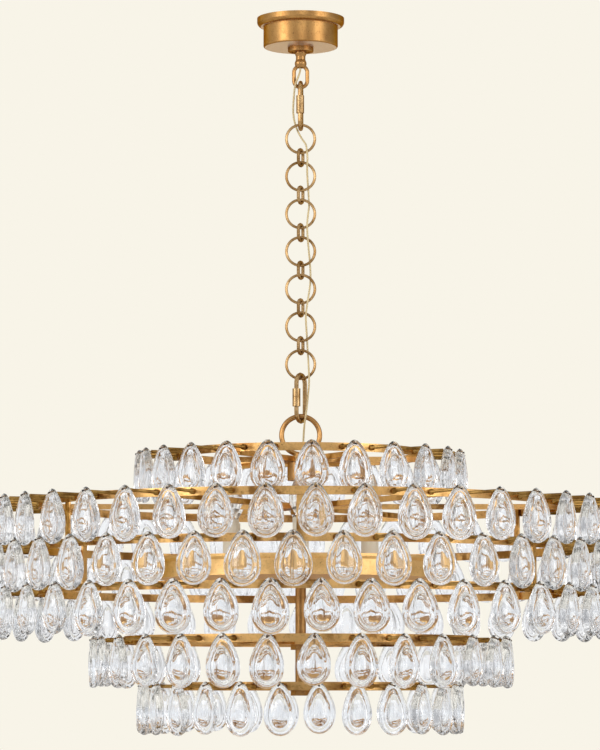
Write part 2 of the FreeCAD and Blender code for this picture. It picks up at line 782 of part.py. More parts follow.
# Lamp holders: a round foot and a tall candle sleeve with a socket in its top; and the lamps in them
def lamps():
    floor = eye_floor - size("pan_fall") + size("pan_wall")
    place = Vector(size("lamp_circle") / 2, 0, floor)
    foot = cylinder("Sizes.holder_foot_width / 2", "Sizes.holder_foot_height", place)
    sleeve = cylinder("Sizes.holder_width / 2", "Sizes.holder_height", place)
    top = floor + size("holder_height")
    socket_place = place + Vector(0, 0, size("holder_height") - size("lamp_base_depth"))
    socket_radius = "Sizes.lamp_base_width / 2 + Sizes.lamp_clearance"
    socket = cylinder(socket_radius, "Sizes.lamp_base_depth", socket_place)
    holder = cut(fuse(foot, sleeve), socket)
    spots = int(size("lamp_count"))
    half_turn = 180 / spots
    group("lamp_holders", [turned(shape, half_turn) for shape in polar(holder, spots)])
    lamp = turned_body(lamp_outline())
    seat = Vector(size("lamp_circle") / 2, 0, top - size("lamp_base_depth"))
    shape = finished(lamp)
    group("lamps", [turned(shape, 360 * spot / spots + half_turn, seat) for spot in range(spots)])


def lamp_outline():
    """A candle lamp: a straight base, a neck, a belly and a drawn-out tip."""
    base = "Sizes.lamp_base_depth"
    return [
        ("0", "0"),
        ("Sizes.lamp_base_width / 2", "0"),
        ("Sizes.lamp_base_width / 2", f"{base} + Sizes.lamp_neck"),
        ("Sizes.lamp_width / 2", f"{base} + Sizes.lamp_belly_low"),
        ("Sizes.lamp_width / 2", f"{base} + Sizes.lamp_belly_high"),
        ("Sizes.lamp_tip_width / 2", f"{base} + Sizes.lamp_tip_foot"),
        ("0", f"{base} + Sizes.lamp_height"),
    ]


# Cord: its route from the neck's bore, woven past the rings of the chain, to the hub's inlet.
# Each point is its distance to the right, to the back and down from the ceiling.
CORD_ROUTE = [
    (0.0, 0.0, -58.0),
    (0.0, 0.0, -76.0),
    (-2.0, -2.8, -87.0),
    (-6.6, -7.2, -98.0),
    (-9.6, -8.2, -110.0),
    (-10.6, -6.5, -125.0),
    (-11.8, -2.0, -142.0),
    (-10.0, 6.0, -156.5),
    (-6.0, 10.5, -169.0),
    (1.5, 9.0, -184.0),
    (8.2, 0.5, -193.5),
    (9.4, -6.0, -204.0),
    (10.6, -8.0, -216.0),
    (9.8, -5.5, -228.0),
    (10.0, 0.5, -242.0),
    (11.3, 5.5, -259.0),
    (12.5, 7.0, -277.0),
    (12.9, 4.5, -290.0),
    (11.3, -1.5, -301.0),
    (9.6, -6.0, -318.0),
    (10.4, -7.0, -336.0),
    (11.9, -3.0, -353.0),
    (13.5, 3.5, -369.0),
    (15.0, 6.5, -387.0),
    (15.0, 4.0, -404.0),
    (13.0, -1.0, -420.0),
    (10.0, -6.0, -439.0),
    (7.5, -6.5, -458.0),
    (8.6, -1.5, -476.0),
    (9.8, 4.5, -493.0),
    (10.7, 7.0, -510.0),
    (11.8, 3.5, -528.0),
    (12.6, -4.0, -545.0),
    (12.9, -7.0, -560.0),
    (11.2, -3.5, -577.0),
    (9.8, -3.5, -592.0),
    (8.2, -9.0, -606.0),
    (5.6, -7.5, -622.0),
    (4.6, 2.0, -637.0),
    (3.8, 9.5, -652.0),
]


def cord_points():
    """The chosen points, and the last ones straight down into the hub's inlet."""
    inlet = Vector(size("cord_inlet_across"), size("cord_inlet_back"), 0)
    end = hub_top - size("cord_inlet_depth") + size("link_gap")
    tail = [inlet + Vector(0, 0, eye_floor + size("cord_width")), inlet + Vector(0, 0, end)]
    return [Vector(*point) for point in CORD_ROUTE] + tail


def supply_cord():
    points = cord_points()
    edges = []
    radii = []
    start = points[0]
    for before, corner, after in zip(points, points[1:], points[2:]):
        inward = (corner - before).normalize()
        outward = (after - corner).normalize()
        turn = inward.getAngle(outward)
        run = min((corner - before).Length, (after - corner).Length)
        reach = size("cord_bend_share") * run
        radii.append(reach / math.tan(turn / 2))
        first = corner - inward * reach
        last = corner + outward * reach
        bisector = (outward - inward).normalize()
        sagitta = radii[-1] * (1 / math.cos(turn / 2) - 1)
        edges.append(Part.LineSegment(start, first).toShape())
        edges.append(Part.Arc(first, corner + bisector * sagitta, last).toShape())
        start = last
    edges.append(Part.LineSegment(start, points[-1]).toShape())
    path = Part.Wire(edges)
    radius = size("cord_width") / 2
    section = Part.Wire(Part.makeCircle(radius, points[0], points[1] - points[0]))
    tube = path.makePipeShell([section], True, False)
    expected = math.pi * radius**2 * path.Length
    print("cord radii", " ".join(f"{value:.0f}" for value in radii))
    print(f"cord length {path.Length:.0f}, volume against section times length {tube.Volume / expected:.4f}")
    group("supply_cord", [tube])


def check_and_write():
    """Stops at any object that failed; otherwise writes each sub-part's own file."""
    doc.recompute()
    for item in doc.Objects:
        if {"Invalid", "Error"} & set(item.State):
            raise RuntimeError(f"{item.Label} failed: {item.State}")
    for label, item in nodes.items():
        if item.Shape.isNull() or not item.Shape.isValid():
            raise RuntimeError(f"{label} has no valid shape")
    os.makedirs("parts", exist_ok=True)
    for label, item in nodes.items():
        item.Shape.exportStep(f"parts/{label}.step")
    print(len(nodes), "nodes")


ceiling_bracket()
threaded_tube()
canopy_loop()
canopy_shell()
screw_collar()
supply_cord()
chain()
hanging_eye()
top_hub()
stem()
spiders()
bands()
straps()
pegs_and_drops()
lamp_pan()
lamps()
check_and_write()
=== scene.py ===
"""A crystal chandelier on a chain: six rings of clear glass drops pegged to gilt bands."""

import math
import random
from collections import namedtuple

import bmesh
import bpy
from mathutils import Matrix, Vector


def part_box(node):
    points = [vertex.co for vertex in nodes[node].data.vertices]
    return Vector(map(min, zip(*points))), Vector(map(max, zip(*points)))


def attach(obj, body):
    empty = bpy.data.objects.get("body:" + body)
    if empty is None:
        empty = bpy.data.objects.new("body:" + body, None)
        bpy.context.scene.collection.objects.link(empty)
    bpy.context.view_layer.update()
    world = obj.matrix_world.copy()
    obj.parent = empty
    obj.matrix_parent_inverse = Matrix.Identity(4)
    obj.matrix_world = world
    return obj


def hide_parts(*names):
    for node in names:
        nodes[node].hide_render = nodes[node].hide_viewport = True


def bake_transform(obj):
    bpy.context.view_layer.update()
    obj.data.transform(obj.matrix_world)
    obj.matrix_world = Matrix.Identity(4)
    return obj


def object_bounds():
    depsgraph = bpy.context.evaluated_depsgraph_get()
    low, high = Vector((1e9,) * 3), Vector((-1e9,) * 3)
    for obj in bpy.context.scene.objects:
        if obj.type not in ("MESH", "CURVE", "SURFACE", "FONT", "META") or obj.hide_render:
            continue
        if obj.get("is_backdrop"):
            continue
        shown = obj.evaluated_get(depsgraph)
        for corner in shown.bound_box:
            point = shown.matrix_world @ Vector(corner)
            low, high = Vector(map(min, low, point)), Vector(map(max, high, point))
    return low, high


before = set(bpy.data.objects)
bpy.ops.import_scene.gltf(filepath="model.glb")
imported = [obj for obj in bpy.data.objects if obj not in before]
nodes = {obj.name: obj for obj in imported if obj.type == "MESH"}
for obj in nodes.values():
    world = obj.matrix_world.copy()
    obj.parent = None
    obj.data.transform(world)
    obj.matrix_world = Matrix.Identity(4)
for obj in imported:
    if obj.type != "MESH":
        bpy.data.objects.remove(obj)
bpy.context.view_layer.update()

# ---------------------------------------------------------------------------------------
# Helpers for objects, meshes and curves.
# ---------------------------------------------------------------------------------------


def linked(name, data):
    """A new object in the scene."""
    made = bpy.data.objects.new(name, data)
    bpy.context.collection.objects.link(made)
    return made


def smoothed(mesh):
    for face in mesh.polygons:
        face.use_smooth = True


def mesh_from(bm, name, *materials):
    """A smooth mesh made from a bmesh, which is freed."""
    mesh = bpy.data.meshes.new(name)
    bm.to_mesh(mesh)
    bm.free()
    smoothed(mesh)
    for material in materials:
        mesh.materials.append(material)
    return mesh


def all_of(bm):
    return bm.verts[:] + bm.edges[:] + bm.faces[:]


def verts_of(geometry):
    return [item for item in geometry if isinstance(item, bmesh.types.BMVert)]


def turn(bm, verts, angle, axis):
    bmesh.ops.rotate(bm, verts=verts, matrix=Matrix.Rotation(angle, 3, axis))


def move(bm, verts, *vec):
    bmesh.ops.translate(bm, verts=verts, vec=vec)


def new_curve(name, kind, places):
    """A curve with one spline through or along the places."""
    curve = bpy.data.curves.new(name, "CURVE")
    curve.dimensions = "3D"
    spline = curve.splines.new(kind)
    spline.points.add(len(places) - 1)
    for point, place in zip(spline.points, places):
        point.co = (*place, 1.0)
    return curve, spline


def mesh_of_curve(curve):
    """The mesh of a curve: a tube if it has a bevel, and else a line of vertices."""
    holder = linked(curve.name, curve)
    bpy.context.view_layer.update()
    mesh = bpy.data.meshes.new_from_object(holder)
    bpy.data.objects.remove(holder)
    return mesh


def middle(node):
    """The level halfway up a CAD node."""
    low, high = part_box(node)
    return (low[2] + high[2]) / 2


# ---------------------------------------------------------------------------------------
# Helpers for materials. The scale of a noise counts its waves per metre of an object.
# ---------------------------------------------------------------------------------------


def new_material(name, metallic, ior=1.5):
    """A material with its node tree, its shader and its texture coordinates."""
    material = bpy.data.materials.new(name)
    material.use_nodes = True
    tree = material.node_tree
    shader = tree.nodes["Principled BSDF"]
    shader.inputs["Metallic"].default_value = metallic
    shader.inputs["IOR"].default_value = ior
    return material, tree, shader, tree.nodes.new("ShaderNodeTexCoord").outputs


def node_of(tree, kind):
    return next(node for node in tree.nodes if node.type == kind)


def noise(tree, vector, scale, detail=4.0, roughness=0.6):
    node = tree.nodes.new("ShaderNodeTexNoise")
    node.inputs["Scale"].default_value = scale
    node.inputs["Detail"].default_value = detail
    node.inputs["Roughness"].default_value = roughness
    tree.links.new(vector, node.inputs["Vector"])
    return node.outputs["Fac"]


def ramp(tree, value, low, high):
    """The value stretched from low..high to 0..1, with soft ends."""
    node = tree.nodes.new("ShaderNodeMapRange")
    node.interpolation_type = "SMOOTHSTEP"
    node.inputs["From Min"].default_value = low
    node.inputs["From Max"].default_value = high
    tree.links.new(value, node.inputs["Value"])
    return node.outputs["Result"]


def mixed(tree, factor, first, second):
    """A mix of two colours, each given as a colour or as a socket."""
    node = tree.nodes.new("ShaderNodeMix")
    node.data_type = "RGBA"
    tree.links.new(factor, node.inputs["Factor"])
    for socket, value in (("A", first), ("B", second)):
        target = [s for s in node.inputs if s.name == socket and s.type == "RGBA"][0]
        if isinstance(value, tuple):
            target.default_value = value
        else:
            tree.links.new(value, target)
    return [s for s in node.outputs if s.type == "RGBA"][0]


def mixed_value(tree, factor, first, second):
    """A mix of two numbers."""
    node = tree.nodes.new("ShaderNodeMix")
    tree.links.new(factor, node.inputs["Factor"])
    node.inputs["A"].default_value = first
    node.inputs["B"].default_value = second
    return node.outputs["Result"]


def split_vector(tree, vector):
    node = tree.nodes.new("ShaderNodeSeparateXYZ")
    tree.links.new(vector, node.inputs["Vector"])
    return node.outputs


def bump(tree, height, strength, distance, shader):
    node = tree.nodes.new("ShaderNodeBump")
    node.inputs["Strength"].default_value = strength
    node.inputs["Distance"].default_value = distance
    tree.links.new(height, node.inputs["Height"])
    tree.links.new(node.outputs["Normal"], shader.inputs["Normal"])


def toned_material(name, metallic, grain, colours, roughness=None, ior=1.5):
    """A finish that drifts between two close colours, and two roughnesses with them."""
    material, tree, shader, place = new_material(name, metallic, ior)
    tone = noise(tree, place["Object"], grain)
    tree.links.new(mixed(tree, tone, *colours), shader.inputs["Base Color"])
    if roughness:
        tree.links.new(mixed_value(tree, tone, *roughness), shader.inputs["Roughness"])
    return material, tree, shader, tone


def dress(material, slot, *names):
    """Gives CAD nodes a finish."""
    for name in names:
        for held in nodes[name].material_slots:
            held.material = material


# ---------------------------------------------------------------------------------------
# Gilding. Every metal piece that shows is brass or steel with an antique gold finish that
# was wiped by hand, so it is warm and bright on the open faces, and brown where it is aged
# and specked. The group gives that finish its colour, its roughness and its fine dents.
# ---------------------------------------------------------------------------------------

# The scales of the wear, the grain and the specks, and how deep the dents are.
CLOUDS_OF_WEAR = 38.0
FINE_GRAIN = 320.0
FINE_SPECKS = 620.0
DENTS = 0.0003
MIRRORED_EDGE = (0.5, 0.3, 0.13, 1)
GOLD_SOCKETS = [
    ("INPUT", "Place", "Vector"),
    ("INPUT", "Open face", "Color"),
    ("INPUT", "Aged face", "Color"),
    ("INPUT", "Crease", "Color"),
    ("INPUT", "Age", "Float"),
    ("OUTPUT", "Color", "Color"),
    ("OUTPUT", "Roughness", "Float"),
    ("OUTPUT", "Height", "Float"),
]

wiped_gold = bpy.data.node_groups.new("wiped gold", "ShaderNodeTree")
for side, label, kind in GOLD_SOCKETS:
    wiped_gold.interface.new_socket(label, in_out=side, socket_type=f"NodeSocket{kind}")
given = wiped_gold.nodes.new("NodeGroupInput").outputs
wanted = wiped_gold.nodes.new("NodeGroupOutput").inputs

clouds = ramp(wiped_gold, noise(wiped_gold, given["Place"], CLOUDS_OF_WEAR), 0.36, 0.66)
fine = noise(wiped_gold, given["Place"], FINE_GRAIN, 6.0, 0.7)
specks = ramp(wiped_gold, noise(wiped_gold, given["Place"], FINE_SPECKS, 2.0), 0.63, 0.72)
aging = wiped_gold.nodes.new("ShaderNodeMath")
aging.operation = "MULTIPLY_ADD"
wiped_gold.links.new(clouds, aging.inputs[0])
wiped_gold.links.new(given["Age"], aging.inputs[1])
wiped_gold.links.new(ramp(wiped_gold, fine, 0.5, 0.8), aging.inputs[2])
aged = mixed(wiped_gold, aging.outputs["Value"], given["Open face"], given["Aged face"])
wiped_gold.links.new(mixed(wiped_gold, specks, aged, given["Crease"]), wanted["Color"])
wiped_gold.links.new(mixed_value(wiped_gold, fine, 0.2, 0.46), wanted["Roughness"])
wiped_gold.links.new(fine, wanted["Height"])


def gold_material(name, open_face, aged_face, crease, age, dents=DENTS):
    """A wiped gold finish from its three colours and the share of the aged one."""
    material, tree, shader, place = new_material(name, 1.0)
    shader.inputs["Specular Tint"].default_value = MIRRORED_EDGE
    finish = tree.nodes.new("ShaderNodeGroup")
    finish.node_tree = wiped_gold
    tree.links.new(place["Object"], finish.inputs["Place"])
    finish.inputs["Open face"].default_value = open_face
    finish.inputs["Aged face"].default_value = aged_face
    finish.inputs["Crease"].default_value = crease
    finish.inputs["Age"].default_value = age
    tree.links.new(finish.outputs["Color"], shader.inputs["Base Color"])
    tree.links.new(finish.outputs["Roughness"], shader.inputs["Roughness"])
    bump(tree, finish.outputs["Height"], 0.35, dents, shader)
    return material


# ---------------------------------------------------------------------------------------
# Ceiling fixings. A pressed steel bracket, a threaded tube and its two locknuts hide in
# the canopy. They are zinc plated, dull and slightly blue, and only show from below when
# the canopy is let down.
# ---------------------------------------------------------------------------------------

zinc = toned_material(
    "zinc plate", 1.0, 90.0, ((0.52, 0.55, 0.58, 1), (0.72, 0.73, 0.74, 1)), (0.28, 0.5)
)[0]
dress(zinc, "plated_steel", "ceiling_bracket", "mounting_nipple", "nipple_locknuts")

# ---------------------------------------------------------------------------------------
# Canopy, its collar and the cast loop. The canopy is spun brass, a little brighter than
# the cast collar and loop. Its flat underside is painted nearly white, as painted light from
# below.
# ---------------------------------------------------------------------------------------

canopy_gold = gold_material(
    "canopy gold", (0.42, 0.235, 0.09, 1), (0.275, 0.13, 0.04, 1), (0.05, 0.02, 0.008, 1), 0.5
)
dress(canopy_gold, "antique_gold", "screw_collar", "canopy_loop")

# Painted light: a nearly white colour on the shell's underside that stands in for the light from
# below.
PAINTED_LIGHT_BELOW = (0.98, 0.91, 0.81, 1)

shell_gold = gold_material(
    "shell gold", (0.45, 0.25, 0.088, 1), (0.305, 0.143, 0.044, 1), (0.06, 0.025, 0.008, 1), 0.5
)
shell_tree = shell_gold.node_tree
shell_colour = node_of(shell_tree, "BSDF_PRINCIPLED").inputs["Base Color"]
gilt = shell_colour.links[0].from_socket
facing = shell_tree.nodes.new("ShaderNodeNewGeometry").outputs["Normal"]
# The faces that look straight down get the painted light from below in place of the gilt.
painted_light_mask = ramp(shell_tree, split_vector(shell_tree, facing)["Z"], -0.97, -0.99)
shell_tree.links.new(mixed(shell_tree, painted_light_mask, gilt, PAINTED_LIGHT_BELOW), shell_colour)
dress(shell_gold, "antique_gold", "canopy_shell")

# ---------------------------------------------------------------------------------------
# Chain. Two quick links with threaded sleeves, and between them thirteen welded rings and
# ovals of round steel wire. The finish is paler here, and more of it is worn and dented.
# ---------------------------------------------------------------------------------------

chain_gold = gold_material(
    "chain gold",
    (0.5, 0.33, 0.16, 1),
    (0.25, 0.135, 0.045, 1),
    (0.035, 0.016, 0.006, 1),
    0.8,
    dents=0.0004,
)
chain_parts = ["upper_quick_link", "upper_link_sleeve", "lower_quick_link", "lower_link_sleeve"]
chain_parts += [f"chain_ring_{number}" for number in range(1, 8)]
chain_parts += [f"chain_link_{number}" for number in range(1, 7)]
dress(chain_gold, "antique_gold_chain", *chain_parts)

# ---------------------------------------------------------------------------------------
# Supply cord. A limp two-core cord in a clear gold jacket, 3 mm thick. It leaves the tube
# in the canopy's neck, winds down around the chain, and goes into the hub. It is cut into
# parts that lie end to end.
# ---------------------------------------------------------------------------------------

CORD_WIDTH = 0.003
SAME_PLACE = 1e-9
CORD_ROUTE = [
    (0.0, 0.0, -0.058),
    (0.0, 0.0, -0.076),
    (-0.002, -0.0028, -0.087),
    (-0.0066, -0.0072, -0.098),
    (-0.0096, -0.0082, -0.11),
    (-0.0106, -0.0065, -0.125),
    (-0.0118, -0.002, -0.142),
    (-0.01, 0.006, -0.1565),
    (-0.006, 0.0105, -0.169),
    (0.0015, 0.009, -0.184),
    (0.0082, 0.0005, -0.1935),
    (0.0094, -0.006, -0.204),
    (0.0106, -0.008, -0.216),
    (0.0098, -0.0055, -0.228),
    (0.01, 0.0005, -0.242),
    (0.0113, 0.0055, -0.259),
    (0.0125, 0.007, -0.277),
    (0.0129, 0.0045, -0.29),
    (0.0113, -0.0015, -0.301),
    (0.0096, -0.006, -0.318),
    (0.0104, -0.007, -0.336),
    (0.0119, -0.003, -0.353),
    (0.0135, 0.0035, -0.369),
    (0.015, 0.0065, -0.387),
    (0.015, 0.004, -0.404),
    (0.013, -0.001, -0.42),
    (0.01, -0.006, -0.439),
    (0.0075, -0.0065, -0.458),
    (0.0086, -0.0015, -0.476),
    (0.0098, 0.0045, -0.493),
    (0.0107, 0.007, -0.51),
    (0.0118, 0.0035, -0.528),
    (0.0126, -0.004, -0.545),
    (0.0129, -0.007, -0.56),
    (0.0112, -0.0035, -0.577),
    (0.0098, -0.0035, -0.592),
    (0.0082, -0.009, -0.606),
    (0.0056, -0.0075, -0.622),
    (0.0046, 0.002, -0.637),
    (0.0038, 0.0095, -0.652),
    (0.0034, 0.013, -0.6677),
    (0.0034, 0.013, -0.6854),
]
# The chain's bodies from the ceiling down. There is one part of the cord for each two of
# them that follow one another. The first part ends at the upper quick link and the last starts
# at the lower one, and those between are equally long.
CORD_BODIES = ["ceiling_mount", "upper_link"]
for number in range(1, 7):
    CORD_BODIES += [f"ring_{number}", f"link_{number}"]
CORD_BODIES += ["ring_7", "lower_link", "fixture"]

jacket, jacket_tree, jacket_shader, jacket_tone = toned_material(
    "clear gold jacket",
    0.0,
    140.0,
    ((0.72, 0.55, 0.27, 1), (0.86, 0.74, 0.46, 1)),
    (0.18, 0.34),
    ior=1.48,
)
jacket_shader.inputs["Transmission Weight"].default_value = 0.35
bump(jacket_tree, jacket_tone, 0.2, 0.0002, jacket_shader)

route, route_spline = new_curve("cord_route", "NURBS", CORD_ROUTE)
route.resolution_u = 8
route_spline.order_u = 3
route_spline.use_endpoint_u = True
cord_line = [vertex.co.copy() for vertex in mesh_of_curve(route).vertices]

along = [0.0]
for before, after in zip(cord_line, cord_line[1:]):
    along.append(along[-1] + (after - before).length)


def first_below(level):
    """How far along the cord it first lies below a level."""
    return min(run for run, place in zip(along, cord_line) if place.z < level)


first_cut = first_below(middle("upper_quick_link"))
last_cut = first_below(middle("lower_quick_link"))
inner_parts = len(CORD_BODIES) - 3
cuts = [first_cut + (last_cut - first_cut) * k / inner_parts for k in range(inner_parts + 1)]
spans = [[cord_line[0]]]
for run, place in zip(along[1:], cord_line[1:]):
    spans[-1].append(place)
    if cuts and run >= cuts[0] - SAME_PLACE:
        spans.append([place])
        cuts.pop(0)

for number, (span, above, below) in enumerate(zip(spans, CORD_BODIES, CORD_BODIES[1:]), 1):
    sweep = new_curve(f"supply_cord_part_{number}", "POLY", span)[0]
    sweep.bevel_depth = CORD_WIDTH / 2
    sweep.bevel_resolution = 3
    sweep.use_fill_caps = True
    tube_mesh = mesh_of_curve(sweep)
    tube_mesh.materials.clear()
    tube_mesh.materials.append(jacket)
    smoothed(tube_mesh)
    tube = linked(f"supply_cord_part_{number}", tube_mesh)
    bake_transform(tube)
    if number == 1:
        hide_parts("supply_cord")

# ---------------------------------------------------------------------------------------
# Eye, hub, stem and nuts. The turned parts that carry the frame, gilded like the canopy.
# ---------------------------------------------------------------------------------------

dress(canopy_gold, "antique_gold", "hanging_eye", "top_hub", "stem", "stem_nuts")

# ---------------------------------------------------------------------------------------
# Frame. Flat bars rolled into six bands, four spiders that hold them on the stem, and the
# straps inside the wide bands. The gold goes from bright to brown in stretches as long as
# a hand.
# ---------------------------------------------------------------------------------------

STRETCHES_OF_WEAR = 8.0
LEAST_AGE = 0.15
MOST_AGE = 1.4

band_gold = gold_material(
    "band gold", (0.74, 0.45, 0.17, 1), (0.27, 0.13, 0.036, 1), (0.05, 0.02, 0.008, 1), 0.8
)
band_tree = band_gold.node_tree
band_place = node_of(band_tree, "TEX_COORD").outputs["Object"]
rubbed = ramp(band_tree, noise(band_tree, band_place, STRETCHES_OF_WEAR, 1.0), 0.4, 0.6)
band_tree.links.new(
    mixed_value(band_tree, rubbed, LEAST_AGE, MOST_AGE), node_of(band_tree, "GROUP").inputs["Age"]
)
dress(band_gold, "antique_gold", "top_spider", "middle_spider", "lower_spider", "bottom_spider")
dress(band_gold, "antique_gold", "band_straps", *[f"tier_{n}_band" for n in range(1, 7)])

# ---------------------------------------------------------------------------------------
# Tiers. Each band carries a ring of pegs, and each peg a drop: the radius of the drops,
# their number, and the share of a pitch by which the first one stands from the front.
# ---------------------------------------------------------------------------------------

Tier = namedtuple("Tier", "radius count start")
TIERS = {
    1: Tier(0.243, 24, 0.25),
    2: Tier(0.476, 43, 0.30),
    3: Tier(0.476, 43, 0.85),
    4: Tier(0.476, 43, 0.40),
    5: Tier(0.311, 29, 0.30),
    6: Tier(0.238, 26, 0.45),
}


def angles_of(tier):
    return [math.tau * (k + tier.start) / tier.count for k in range(tier.count)]


# ---------------------------------------------------------------------------------------
# Pegs. A turned brass rod screwed into the band, with a round shoulder at its root, and a
# thin pin that goes through the drop. Only the pin's head, on the drop's face, is dark.
# ---------------------------------------------------------------------------------------

# The shoulder widens from its root, and the pin's head narrows towards its tip.
SHOULDER_RADII = (0.0042, 0.0045)
PEG_RADIUS = 0.0024
PIN_RADIUS = 0.0009
HEAD_RADII = (0.0015, 0.0012)
HEAD_DEPTH = 0.0021
ROD_SIDES = 8
DROP_DEPTH = 0.014

peg_gold = gold_material(
    "peg gold", (0.4, 0.24, 0.075, 1), (0.16, 0.08, 0.02, 1), (0.02, 0.009, 0.004, 1), 0.9
)
pin_steel = toned_material(
    "darkened steel", 1.0, 900.0, ((0.02, 0.017, 0.015, 1), (0.05, 0.045, 0.04, 1)), (0.35, 0.6)
)[0]


def rod(bm, profile):
    """A round rod along -Y from (distance, radius) pairs, capped at both ends."""
    ring = bmesh.ops.create_circle(bm, cap_ends=True, segments=ROD_SIDES, radius=profile[0][1])
    turn(bm, ring["verts"], math.pi / 2, "X")
    move(bm, ring["verts"], 0, -profile[0][0], 0)
    face = ring["verts"][0].link_faces[0]
    for distance, radius in profile[1:]:
        old_radius = max(math.hypot(v.co.x, v.co.z) for v in face.verts)
        old_distance = -face.verts[0].co.y
        face = bmesh.ops.extrude_discrete_faces(bm, faces=[face])["faces"][0]
        move(bm, face.verts, 0, old_distance - distance, 0)
        share = radius / old_radius
        bmesh.ops.scale(bm, verts=face.verts, vec=(share, 1, share))


for number, tier in TIERS.items():
    low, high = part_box(f"tier_{number}_band")
    root = (high[0] - low[0]) / 2
    back_of_drop = tier.radius - DROP_DEPTH / 2
    face_of_drop = tier.radius + DROP_DEPTH / 2
    bm = bmesh.new()
    # From the root outwards: the shoulder, the rod, the pin and its head. The root is sunk
    # 1 mm into the band, and the pin starts just behind the drop.
    profile = [
        (root - 0.001, SHOULDER_RADII[0]),
        (root + 0.003, SHOULDER_RADII[1]),
        (root + 0.005, PEG_RADIUS),
        (back_of_drop - 0.0012, PEG_RADIUS),
        (back_of_drop - 0.0006, PIN_RADIUS),
        (face_of_drop - 0.0020, PIN_RADIUS),
        (face_of_drop - 0.0016, HEAD_RADII[0]),
        (face_of_drop - 0.0003, HEAD_RADII[1]),
    ]
    rod(bm, profile)
    for face in bm.faces:
        if min(-v.co.y for v in face.verts) > face_of_drop - HEAD_DEPTH:
            face.material_index = 1
    bmesh.ops.recalc_face_normals(bm, faces=bm.faces[:])
    one = all_of(bm)
    angles = angles_of(tier)
    for angle in angles[1:]:
        turn(bm, verts_of(bmesh.ops.duplicate(bm, geom=one)["geom"]), angle, "Z")
    turn(bm, verts_of(one), angles[0], "Z")
    move(bm, bm.verts[:], 0, 0, middle(f"tier_{number}_band"))
    name = f"tier_{number}_peg_rods"
    pegs = linked(name, mesh_from(bm, name, peg_gold, pin_steel))
    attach(pegs, "fixture")
    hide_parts(f"tier_{number}_pegs")

# ---------------------------------------------------------------------------------------
# Drops. Each is pressed from clear glass, alike on both faces: a teardrop with a thick
# rounded rim, a groove inside it, and an upright ridge in the middle. The glass is slightly
# blue and wavy. The drops hang loosely, so no two stand quite alike.
# ---------------------------------------------------------------------------------------

# One face of a drop, from its edge to the top of its ridge: half the width of each outline,
# how far below the drop's point it starts and ends, and how far it stands out from the
# middle plane. The pin goes through at PIN_DROP below the point. The outermost outline is
# longer than the drop, because the subdivision draws its tip in.
DROP_RINGS = [
    (0.0320, -0.0088, 0.0842, 0.0),
    (0.0266, 0.0048, 0.0788, 0.0076),
    (0.0215, 0.0120, 0.0742, 0.0046),
    (0.0172, 0.0165, 0.0680, 0.0036),
    (0.0050, 0.0205, 0.0640, 0.0082),
]
DROP_SIDES = 8
PIN_DROP = 0.0065
# A teardrop is sin(t) * sin(t / 2) ** POINTED wide, at most WIDEST.
POINTED = 0.75
WIDEST = 0.81
# The waves in the glass run down the drop, and spread from a place above its point. They
# are closer together across the drop than along it.
FLOW_START = 0.02
FLOW_ACROSS = 3
FLOW_DOWN = 2
WAVES = 6.5
# The drops of the two lowest tiers are narrower. One that swings is among the smaller ones,
# so that it clears its neighbours. The lean and the twist are in degrees.
NARROWER = {5: 0.96, 6: 0.9}
SIZE_OF_FRONT_DROP = 0.96
SIZES = (0.96, 1.02)
MOST_LEAN = 2.5
MOST_TWIST = 8
FRONT_SEED = 10

glass, glass_tree, glass_shader, on_drop = new_material("pressed glass", 0.0, 1.55)
glass_shader.inputs["Transmission Weight"].default_value = 1.0
glass_shader.inputs["Roughness"].default_value = 0.0
glass_shader.inputs["Base Color"].default_value = (0.955, 0.975, 1.0, 1)
bump(glass_tree, noise(glass_tree, on_drop["UV"], WAVES, 1.0, 0.5), 0.6, 0.001, glass_shader)


def set_teardrop(face, width, top, foot, out):
    """Puts the corners of a face on a teardrop outline, with its point up."""
    for number, loop in enumerate(face.loops):
        t = math.tau * number / len(face.loops)
        loop.vert.co = (
            width / WIDEST * math.sin(t) * abs(math.sin(t / 2)) ** POINTED,
            -out,
            PIN_DROP - top - (foot - top) * (1 - math.cos(t)) / 2,
        )


def drop_cage():
    """A coarse drop, which a subdivision rounds."""
    bm = bmesh.new()
    ring = bmesh.ops.create_circle(bm, cap_ends=True, segments=DROP_SIDES, radius=1)["verts"]
    face = ring[0].link_faces[0]
    set_teardrop(face, *DROP_RINGS[0])
    for outline in DROP_RINGS[1:]:
        face = bmesh.ops.extrude_discrete_faces(bm, faces=[face])["faces"][0]
        set_teardrop(face, *outline)
    bmesh.ops.mirror(bm, geom=all_of(bm), axis="Y", merge_dist=1e-5)
    bmesh.ops.recalc_face_normals(bm, faces=bm.faces[:])
    flow = bm.loops.layers.uv.new("flow")
    for face in bm.faces:
        for loop in face.loops:
            below = PIN_DROP - loop.vert.co.z
            aside = math.atan2(loop.vert.co.x, below + FLOW_START)
            loop[flow].uv = (aside * FLOW_ACROSS, below * FLOW_DOWN)
    return bm


